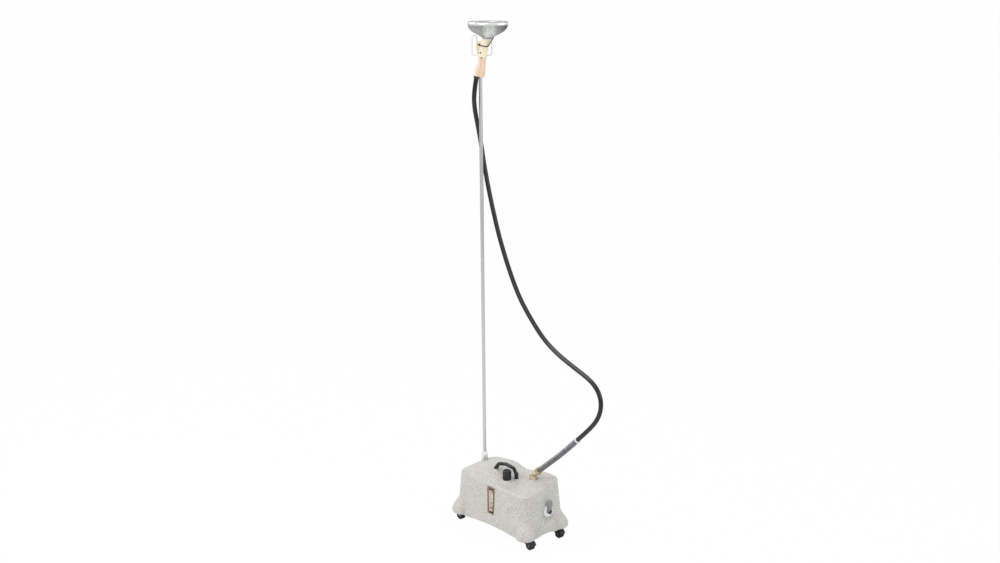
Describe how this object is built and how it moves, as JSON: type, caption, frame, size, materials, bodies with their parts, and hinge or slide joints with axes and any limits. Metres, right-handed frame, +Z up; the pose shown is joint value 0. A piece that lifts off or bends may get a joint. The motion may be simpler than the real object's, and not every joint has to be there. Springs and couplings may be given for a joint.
{
  "type": "garment steamer",
  "caption": "Upright clothes steamer: wheeled boiler housing with a water gauge, a tall pole with a hanger, and a steam head on a flexible hose.",
  "frame": {"origin": "on the floor, at the middle of the housing's footprint between the four casters", "axes": "+Z up; +X along the housing towards the switch end; -Y the side with the water gauge"},
  "size_m": [0.6362, 0.234, 1.804],
  "materials": {
    "hammered_enamel": "hammered enamel on cast metal",
    "zinc_steel": "zinc-plated sheet",
    "steel_screw": "plated screw steel",
    "bearing_nylon": "moulded nylon",
    "caster_plastic": "moulded, semi-gloss",
    "wheel_plastic": "hard moulded tread",
    "axle_steel": "ground bar",
    "boiler_steel": "stainless, brushed",
    "element_sheath": "heat-tinted sheath",
    "brass": "turned",
    "cutoff_phenolic": "moulded phenolic",
    "gasket_rubber": "moulded",
    "cap_phenolic": "polished phenolic",
    "handle_plastic": "moulded, glossy",
    "gauge_bronze": "bronze lacquer",
    "gauge_glass": "drawn tube",
    "bezel_chrome": "polished plating",
    "lever_plastic": "satin grey",
    "gland_plastic": "moulded nylon",
    "cast_aluminium": "cast, satin",
    "pole_aluminium": "bright drawn tube",
    "loop_enamel": "pale dipped coating",
    "cradle_bronze": "dark bronze finish",
    "sleeve_grey": "moulded grey",
    "grip_wood": "sanded pale beech",
    "collar_cream": "heat-proof moulding",
    "head_plate_aluminium": "punched sheet",
    "hose_brass": "cast and turned, aged",
    "hose_rubber": "extruded, glossy",
    "guard_steel": "close-wound spring wire",
    "ring_chrome": "bright ferrule"
  },
  "bodies": {
    "root": {"base_pan": "zinc_steel", "base_screws": "steel_screw", "boiler_saddles": "zinc_steel", "boiler_tank": "boiler_steel", "carry_handle": "handle_plastic", "caster_sockets": "bearing_nylon", "cord_gland": "gland_plastic", "elbow_locknut": "hose_brass", "element_flange": "brass", "fill_neck": "brass", "garment_loops": "loop_enamel", "gauge_fittings": "brass", "gauge_frame": "gauge_bronze", "gauge_tube": "gauge_glass", "guard_ring": "ring_chrome", "handle_screws": "steel_screw", "hanger_sleeve": "sleeve_grey", "head_cradle": "cradle_bronze", "heating_element": "element_sheath", "hose": "hose_rubber", "hose_elbow": "hose_brass", "hose_guard": "guard_steel", "hose_nut": "hose_brass", "housing_shell": "hammered_enamel", "low_water_cutoff": "cutoff_phenolic", "pole_lower": "pole_aluminium", "pole_set_screw": "steel_screw", "pole_socket": "pole_aluminium", "pole_stud": "pole_aluminium", "pole_upper": "pole_aluminium", "socket_screw": "steel_screw", "steam_pipe": "brass", "switch_bezel": "bezel_chrome", "switch_body": "cutoff_phenolic"},
    "handpiece": {"steam_tube": "brass", "grip": "grip_wood", "grip_collar": "collar_cream", "grip_screws": "steel_screw", "hose_ferrule": "gland_plastic", "head_neck": "collar_cream", "steam_head": "cast_aluminium", "head_plate": "head_plate_aluminium"},
    "cap_seat": {"fill_gasket": "gasket_rubber"},
    "cap": {"fill_cap": "cap_phenolic"},
    "switch": {"switch_lever": "lever_plastic"},
    "caster_front_left": {"caster_hood_front_left": "caster_plastic", "caster_axle_front_left": "axle_steel"},
    "wheels_front_left": {"caster_wheels_front_left": "wheel_plastic"},
    "caster_front_right": {"caster_hood_front_right": "caster_plastic", "caster_axle_front_right": "axle_steel"},
    "wheels_front_right": {"caster_wheels_front_right": "wheel_plastic"},
    "caster_rear_right": {"caster_hood_rear_right": "caster_plastic", "caster_axle_rear_right": "axle_steel"},
    "wheels_rear_right": {"caster_wheels_rear_right": "wheel_plastic"},
    "caster_rear_left": {"caster_hood_rear_left": "caster_plastic", "caster_axle_rear_left": "axle_steel"},
    "wheels_rear_left": {"caster_wheels_rear_left": "wheel_plastic"}
  },
  "joints": [
    {"name": "handpiece_lift", "type": "slide", "parent": "root", "child": "handpiece", "axis": [0.1184, 0.127, 0.9848], "range_m": [0, 0.2]},
    {"name": "fill_cap_lift", "type": "slide", "parent": "root", "child": "cap_seat", "axis": [0, 0, 1], "range_m": [0, 0.06]},
    {"name": "fill_cap_turn", "type": "hinge", "parent": "cap_seat", "child": "cap", "pos_m": [0.029, -0.038, 0.22], "axis": [0, 0, 1], "range_deg": [0, 90]},
    {"name": "switch_turn", "type": "hinge", "parent": "root", "child": "switch", "pos_m": [0.1858, 0.013, 0.1205], "axis": [1, 0, 0], "range_deg": [0, 90]},
    {"name": "swivel_front_left", "type": "hinge", "parent": "root", "child": "caster_front_left", "pos_m": [-0.175, -0.072, 0.045], "axis": [0, 0, 1], "continuous": true},
    {"name": "roll_front_left", "type": "hinge", "parent": "caster_front_left", "child": "wheels_front_left", "pos_m": [-0.183, -0.072, 0.016], "axis": [0, 1, 0], "continuous": true},
    {"name": "swivel_front_right", "type": "hinge", "parent": "root", "child": "caster_front_right", "pos_m": [0.175, -0.072, 0.045], "axis": [0, 0, 1], "continuous": true},
    {"name": "roll_front_right", "type": "hinge", "parent": "caster_front_right", "child": "wheels_front_right", "pos_m": [0.183, -0.072, 0.016], "axis": [0, 1, 0], "continuous": true},
    {"name": "swivel_rear_right", "type": "hinge", "parent": "root", "child": "caster_rear_right", "pos_m": [0.175, 0.072, 0.045], "axis": [0, 0, 1], "continuous": true},
    {"name": "roll_rear_right", "type": "hinge", "parent": "caster_rear_right", "child": "wheels_rear_right", "pos_m": [0.183, 0.072, 0.016], "axis": [0, 1, 0], "continuous": true},
    {"name": "swivel_rear_left", "type": "hinge", "parent": "root", "child": "caster_rear_left", "pos_m": [-0.175, 0.072, 0.045], "axis": [0, 0, 1], "continuous": true},
    {"name": "roll_rear_left", "type": "hinge", "parent": "caster_rear_left", "child": "wheels_rear_left", "pos_m": [-0.183, 0.072, 0.016], "axis": [0, 1, 0], "continuous": true}
  ]
}
